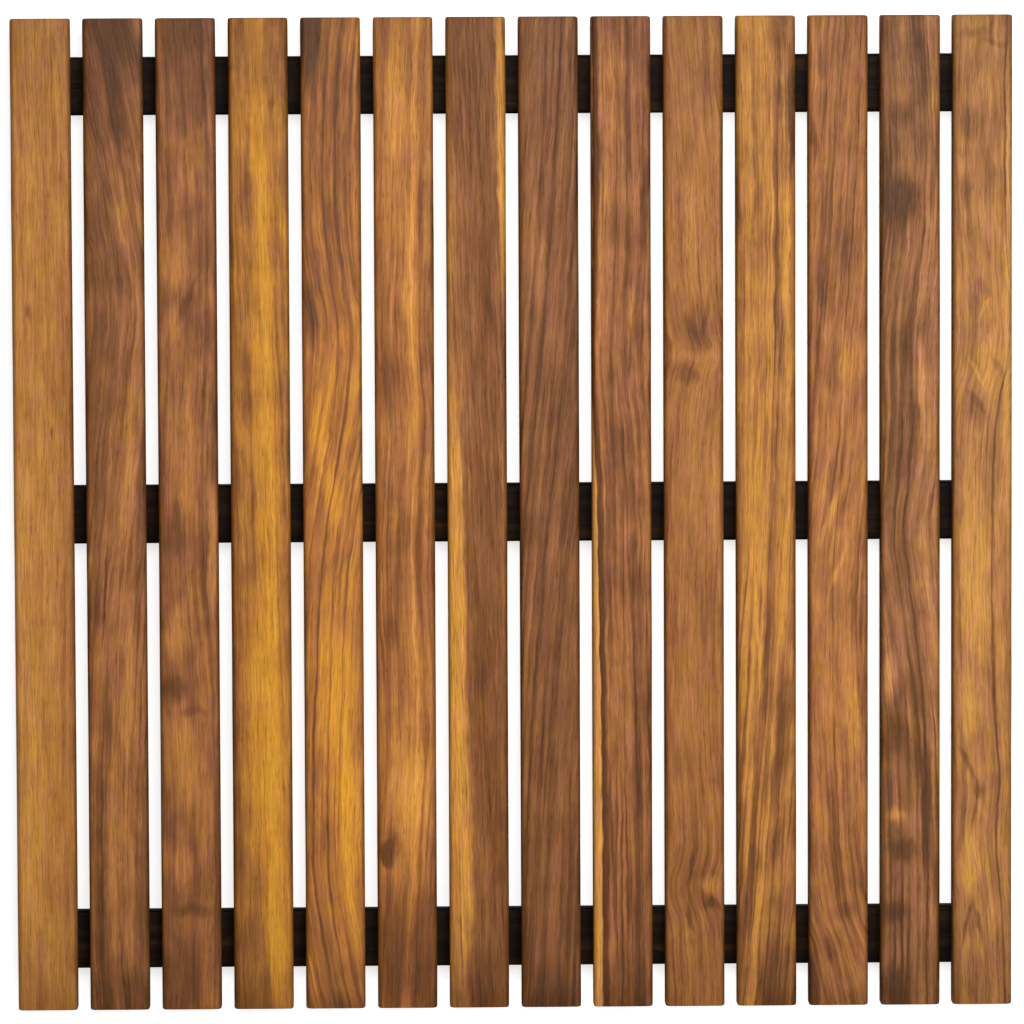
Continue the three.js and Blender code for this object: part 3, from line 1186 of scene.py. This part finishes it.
@dataclass
class Drills:
    """The holes that take screws and feet. Sizes are in millimetres, heights from the underside."""

    head_radius: float = 4.3
    shank_radius: float = 2.3
    recess: float = 0.8
    rim: float = 0.4
    head_height: float = 2.6
    pilot_depth: float = 12.8
    stem_radius: float = 4.3
    stem_depth: float = 9.0
    overrun: float = 1.0
    steps: int = 32

    def countersunk(self, thickness: float) -> Outline:
        """Draws the through hole of a screw.

        Args:
            thickness: The thickness of the wood.

        Returns:
            The drill's profile.
        """
        return [
            (0, -self.overrun),
            (self.head_radius, -self.overrun),
            (self.head_radius, self.recess + self.rim),
            (self.shank_radius, self.recess + self.head_height),
            (self.shank_radius, thickness + self.overrun),
            (0, thickness + self.overrun),
        ]

    def blind(self, radius: float, depth: float) -> Outline:
        """Draws a flat-bottomed blind hole of a given radius and depth."""
        return [(0, -self.overrun), (radius, -self.overrun), (radius, depth), (0, depth)]

    def drill(self, piece: bpy.types.Object, holes: list[tuple[Vector, Outline]]) -> None:
        """Drills a piece.

        Args:
            piece: The board.
            holes: Each hole's foot in metres and its profile.
        """
        bm = bmesh.new()
        for foot, profile in holes:
            single = bmesh.new()
            turned(single, profile, foot, self.steps)
            bmesh.ops.recalc_face_normals(single, faces=single.faces)
            mesh = meshed(single, "drill")
            bm.from_mesh(mesh)
            bpy.data.meshes.remove(mesh)
        cut(piece, linked("drills", meshed(bm, "drills")))


@dataclass
class Slats:
    """The fourteen boards that are stood on."""

    lumber: Lumber
    drills: Drills
    teak: Teak
    seed_step: int = 11

    def build(self) -> None:
        """Makes each slat in its place, with pilot holes for the screws, and dresses it."""
        first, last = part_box("slat_01"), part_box(f"slat_{SLAT_COUNT:02d}")
        bm = self.lumber.blank(first[0], first[1], Run.ALONG_Y)
        pattern = piece_from(bm, "slat_pattern")
        pitch = (last[0].x - first[0].x) / (SLAT_COUNT - 1)
        profile = self.drills.blind(self.drills.shank_radius, self.drills.pilot_depth)
        centre = middle_of("slat_01")
        rows = [middle_of(f"batten_{place}").y for place in PLACES]
        self.drills.drill(pattern, [(Vector((centre.x, y, first[0].z)), profile) for y in rows])
        for i, board in enumerate(SLAT_BOARDS):
            number = i + 1
            node = f"slat_{number:02d}"
            piece = copied(pattern, f"teak_{node}", Vector((pitch * i, 0, 0)))
            self.lumber.soften(piece, Run.ALONG_Y, number)
            face = centre + Vector((pitch * i, 0, (first[1].z - first[0].z) / 2))
            name = f"oiled teak, board {number}"
            material = self.teak.material(name, board, face, self.seed_step * number, Run.ALONG_Y)
            keep(piece, material, node)
        bpy.data.objects.remove(pattern)


@dataclass
class Battens:
    """The three cross battens that carry the slats."""

    lumber: Lumber
    drills: Drills
    teak: Teak
    first_seed: int = 200
    seed_step: int = 17

    def build(self) -> None:
        """Makes each batten with its countersunk holes and its holes for the feet."""
        for i, place in enumerate(PLACES):
            node = f"batten_{place}"
            low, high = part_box(node)
            middle = middle_of(node)
            piece = piece_from(self.lumber.blank(low, high, Run.ALONG_X), f"cross_{node}")
            screw_hole = self.drills.countersunk((high.z - low.z) / MM)
            foot_hole = self.drills.blind(self.drills.stem_radius, self.drills.stem_depth)
            over = [(f"slat_{number:02d}", screw_hole) for number in range(1, SLAT_COUNT + 1)]
            under = [(f"foot_{place}_{side}", foot_hole) for side in SIDES]
            drilled = over + under
            holes = [(Vector((middle_of(fixed).x, middle.y, low.z)), hole) for fixed, hole in drilled]
            self.drills.drill(piece, holes)
            # the battens' near-black finish is painted shade
            name = f"oiled teak, batten in painted shade {i + 1}"
            face = Vector((middle.x, middle.y, high.z))
            seed = self.first_seed + self.seed_step * i
            material = self.teak.material(name, PAINTED_SHADE_BATTEN_BOARD, face, seed, Run.ALONG_X)
            keep(piece, material, node)


@dataclass
class Screws:
    """Countersunk wood screws with a cross recess. Sizes are in millimetres.

    crest is the half width of the thread's crest, as a share of its pitch. The thread rises over
    run_in from the shank and falls over the same length, to end run_out beyond the core. Rings
    from skin of the core's radius outwards carry it. The tip has tip_fullness of the core's radius
    at tip_bulge of its length.
    """

    head_radius: float = 4.0
    face_ease: Span = (0.25, 0.12)
    rim: float = 0.4
    head_height: float = 2.6
    core_radius: float = 1.45
    thread_radius: float = 2.0
    shank_radius: float = 1.9
    plain_length: float = 9.0
    shoulder: float = 0.4
    length: float = 25.0
    tip: float = 4.0
    tip_fullness: float = 0.55
    tip_bulge: float = 0.6
    pitch: float = 1.8
    crest: float = 0.28
    run_in: float = 1.5
    run_out: float = 0.8
    skin: float = 0.9
    slack: float = 0.01
    rings_per_turn: int = 6
    steps: int = 16
    fold: float = 40.0
    recess: float = 0.8
    slot_length: float = 4.6
    slot_width: float = 1.1
    slot_depth: float = 2.0
    slot_taper: float = 0.4

    def outline(self) -> Outline:
        """Draws the screw without its thread.

        Returns:
            Radius and height pairs from the head's face up to the tip.
        """
        inset, rise = self.face_ease
        thread_to = self.length - self.tip
        threaded = thread_to - self.plain_length
        rings = int(threaded / self.pitch * self.rings_per_turn)
        head = [
            (0, 0),
            (self.head_radius - inset, 0),
            (self.head_radius, rise),
            (self.head_radius, self.rim),
            (self.shank_radius, self.head_height),
            (self.shank_radius, self.plain_length - self.shoulder),
        ]
        core = [(self.core_radius, self.plain_length + threaded * i / rings) for i in range(rings + 1)]
        bulge = (self.core_radius * self.tip_fullness, thread_to + self.tip * self.tip_bulge)
        return [*head, *core, bulge, (0, self.length)]

    def pattern(self, foot: Vector) -> bpy.types.Object:
        """Makes one screw, head down.

        Args:
            foot: The middle of the head's face, in metres.

        Returns:
            The screw.
        """
        bm = bmesh.new()
        turned(bm, self.outline(), foot, self.steps)
        thread_from = self.plain_length
        thread_to = self.length - self.tip
        for vert in bm.verts:
            local = vert.co - foot
            height = local.z / MM
            radius = Vector((local.x, local.y)).length / MM
            on_core = thread_from <= height <= thread_to + self.slack
            if on_core and radius > self.core_radius * self.skin:
                angle = math.atan2(local.y, local.x) / (2 * math.pi)
                turn = (height / self.pitch - angle) % 1.0
                crest = max(0.0, 1.0 - abs(turn - 0.5) / self.crest)
                rise = (height - thread_from) / self.run_in
                fall = (thread_to + self.run_out - height) / self.run_in
                fade = min(1.0, rise, fall)
                depth = self.thread_radius - self.core_radius
                grown = self.core_radius + depth * crest * max(0.0, fade)
                outward = Vector((local.x, local.y, 0)) * (grown / radius)
                vert.co = foot + outward + Vector((0, 0, local.z))
        return piece_from(bm, "screw_pattern", self.fold)

    def cross(self, screw: bpy.types.Object, foot: Vector) -> None:
        """Sinks the cross recess into a screw's head.

        Args:
            screw: The screw.
            foot: The middle of its head's face, in metres.
        """
        size = Vector((self.slot_length, self.slot_width, 2 * self.slot_depth)) * MM
        taper = (self.slot_taper, self.slot_taper, 1.0)
        for quarter in range(2):
            bm = bmesh.new()
            place = Matrix.Translation(foot) @ Matrix.Rotation(quarter * math.pi / 2, 4, "Z")
            bmesh.ops.create_cube(bm, size=1.0, matrix=place @ Matrix.Diagonal((*size, 1.0)))
            inner = [v for v in bm.verts if v.co.z > foot.z]
            bmesh.ops.scale(bm, vec=taper, space=Matrix.Translation(-foot), verts=inner)
            cut(screw, piece_from(bm, "cross"))

    def build(self, material: bpy.types.Material, nodes: set[str]) -> None:
        """Drives a screw up through every batten into every slat.

        Args:
            material: The screws' finish.
            nodes: The names of the frame's nodes, which some of the screws don't have.
        """
        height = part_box("batten_front")[0].z + self.recess * MM
        foot = Vector((middle_of("slat_01").x, middle_of("batten_front").y, height))
        pattern = self.pattern(foot)
        self.cross(pattern, foot)
        for place in PLACES:
            y = middle_of(f"batten_{place}").y
            for number in range(1, SLAT_COUNT + 1):
                there = Vector((middle_of(f"slat_{number:02d}").x, y, foot.z))
                node = f"screw_{place}_{number:02d}"
                piece = copied(pattern, f"wood_{node}", there - foot)
                keep(piece, material, node if node in nodes else None)
        bpy.data.objects.remove(pattern)


@dataclass
class Feet:
    """Push-in rubber feet. Sizes are in millimetres.

    Each barb starts at one of the heights in barbs above the tread, swells over barb_swell and
    tapers off at barb_length.
    """

    radius: float = 9.0
    height: float = 3.0
    edge: float = 0.8
    edge_segments: int = 5
    back_ease: float = 0.3
    groove_depth: float = 0.5
    groove_width: float = 0.7
    groove_slope: float = 0.1
    grooves: tuple[float, ...] = (3.6, 6.0)
    stem_radius: float = 4.0
    stem_length: float = 8.7
    stem_ease: float = 1.2
    barb_radius: float = 4.22
    barbs: tuple[float, ...] = (1.6, 3.9)
    barb_swell: float = 0.2
    barb_length: float = 1.6
    steps: int = 48
    fold: float = 50.0

    def profile(self) -> Outline:
        """Draws the foot's outline.

        Returns:
            Radius and height pairs from the floor up.
        """
        points = [(0.0, 0.0)]
        half = self.groove_width / 2
        for radius in self.grooves:
            points += [(radius - half - self.groove_slope, 0.0), (radius - half, self.groove_depth)]
            points += [(radius + half, self.groove_depth), (radius + half + self.groove_slope, 0.0)]
        for i in range(self.edge_segments + 1):
            angle = math.pi / 2 * i / self.edge_segments
            out = self.radius - self.edge + self.edge * math.sin(angle)
            points.append((out, self.edge - self.edge * math.cos(angle)))
        points += [(self.radius, self.height - self.back_ease), (self.radius - self.back_ease, self.height)]
        points += [(self.stem_radius, self.height)]
        for barb in self.barbs:
            start = self.height + barb
            points += [(self.stem_radius, start), (self.barb_radius, start + self.barb_swell)]
            points += [(self.stem_radius, start + self.barb_length)]
        top = self.stem_length + self.height
        points += [(self.stem_radius, top - self.stem_ease), (self.stem_radius - self.stem_ease, top)]
        return [*points, (0.0, top)]

    def build(self, material: bpy.types.Material) -> None:
        """Pushes three feet into each batten.

        Args:
            material: The feet's finish.
        """
        for place in PLACES:
            for side in SIDES:
                node = f"foot_{place}_{side}"
                middle = middle_of(node)
                centre = Vector((middle.x, middle.y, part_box(node)[0].z))
                bm = bmesh.new()
                turned(bm, self.profile(), centre, self.steps)
                keep(piece_from(bm, f"rubber_{node}", self.fold), material, node)


# ---------------------------------------------------------------- studio


@dataclass(frozen=True)
class Softbox:
    """A soft light that faces the mat: where it hangs and its size in metres, its power in watts."""

    name: str
    place: tuple[float, float, float]
    size: Span
    power: float

    def hang(self) -> None:
        """Hangs the light."""
        data = bpy.data.lights.new(self.name, "AREA")
        data.shape = "RECTANGLE"
        data.size, data.size_y = self.size
        data.energy = self.power
        light = bpy.data.objects.new(self.name, data)
        light.location = self.place
        light.rotation_euler = (-Vector(self.place)).to_track_quat("-Z", "Y").to_euler()
        bpy.context.scene.collection.objects.link(light)


@dataclass
class Studio:
    """A white sweep under large soft lights, with the camera almost straight above.

    Sizes and places are in metres, the lens in millimetres, and tilt, yaw and roll in degrees.
    """

    floor_size: float = 14.0
    floor_colour: str = "#f2f2f0"
    floor_glow: float = 0.7
    sky_colour: str = "#eef1f5"
    sky_strength: float = 0.17
    distance: float = 4.5
    tilt: float = 4.58
    yaw: float = -1.02
    roll: float = -0.24
    lens: float = 262.1
    sight: float = 60.0
    aim: tuple[float, float, float] = (-0.00095, 0.0017, 0.033)
    lights: tuple[Softbox, ...] = (
        Softbox("key softbox", (0.35, 0.5, 1.9), (1.7, 1.1), 44.0),
        Softbox("fill softbox", (0.5, -2.2, 2.0), (1.6, 1.2), 10.0),
    )

    def floor(self) -> None:
        """Lays the floor, which glows a little to the lens to stay white in the mat's gaps."""
        bm = bmesh.new()
        bmesh.ops.create_grid(bm, x_segments=1, y_segments=1, size=self.floor_size / 2)
        floor = linked("floor", meshed(bm, "floor"))
        material = bpy.data.materials.new("white studio sweep")
        material.use_nodes = True
        tree = material.node_tree
        tree.nodes.clear()
        matt = add(tree, "ShaderNodeBsdfDiffuse", {"Color": srgb(self.floor_colour)}).outputs[0]
        seen = add(tree, "ShaderNodeLightPath").outputs["Is Camera Ray"]
        glow = add(tree, "ShaderNodeMath", {0: seen, 1: self.floor_glow}, operation="MULTIPLY").outputs[0]
        lit = add(tree, "ShaderNodeEmission", {"Color": (1, 1, 1, 1), "Strength": glow}).outputs[0]
        both = add(tree, "ShaderNodeAddShader", {0: matt, 1: lit}).outputs[0]
        add(tree, "ShaderNodeOutputMaterial", {"Surface": both})
        floor.data.materials.append(material)

    def sky(self) -> None:
        """Fills the room with even pale light."""
        world = bpy.data.worlds.new("studio")
        world.use_nodes = True
        tree = world.node_tree
        tree.nodes.clear()
        pale = {"Color": srgb(self.sky_colour), "Strength": self.sky_strength}
        light = add(tree, "ShaderNodeBackground", pale).outputs[0]
        add(tree, "ShaderNodeOutputWorld", {"Surface": light})
        bpy.context.scene.world = world

    def camera(self) -> None:
        """Hangs the camera above the mat, looking almost straight down with a long lens."""
        data = bpy.data.cameras.new("camera")
        data.lens = self.lens
        data.clip_end = self.sight
        back = Vector((math.sin(math.radians(self.yaw)), math.sin(math.radians(self.tilt)), 0))
        back.z = math.sqrt(1 - back.length_squared)
        right = Vector((0, 1, 0)).cross(back).normalized()
        up = back.cross(right)
        turn = Matrix.Rotation(math.radians(self.roll), 3, back)
        axes = Matrix((turn @ right, turn @ up, back)).transposed()
        camera = bpy.data.objects.new("camera", data)
        camera.matrix_world = Matrix.Translation(Vector(self.aim) + back * self.distance) @ axes.to_4x4()
        bpy.context.scene.collection.objects.link(camera)
        bpy.context.scene.camera = camera

    def build(self) -> None:
        """Sets up camera, floor, room and lights."""
        bpy.context.scene.view_settings.view_transform = "Standard"
        self.camera()
        self.floor()
        self.sky()
        for light in self.lights:
            light.hang()


def main() -> None:
    """Sets up the studio and builds the mat in it, piece by piece."""
    logging.basicConfig(level=logging.INFO, format="%(name)s: %(message)s")
    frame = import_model()
    teak = Teak()
    drills = Drills()
    Studio().build()
    Slats(Lumber(), drills, teak).build()
    Battens(Lumber(roundover=2.0, ease=1.0, strips=4), drills, teak).build()
    Screws().build(StainlessSteel().material(), set(frame["nodes"]))
    Feet().build(Rubber().material())


if __name__ == "__main__":
    main()
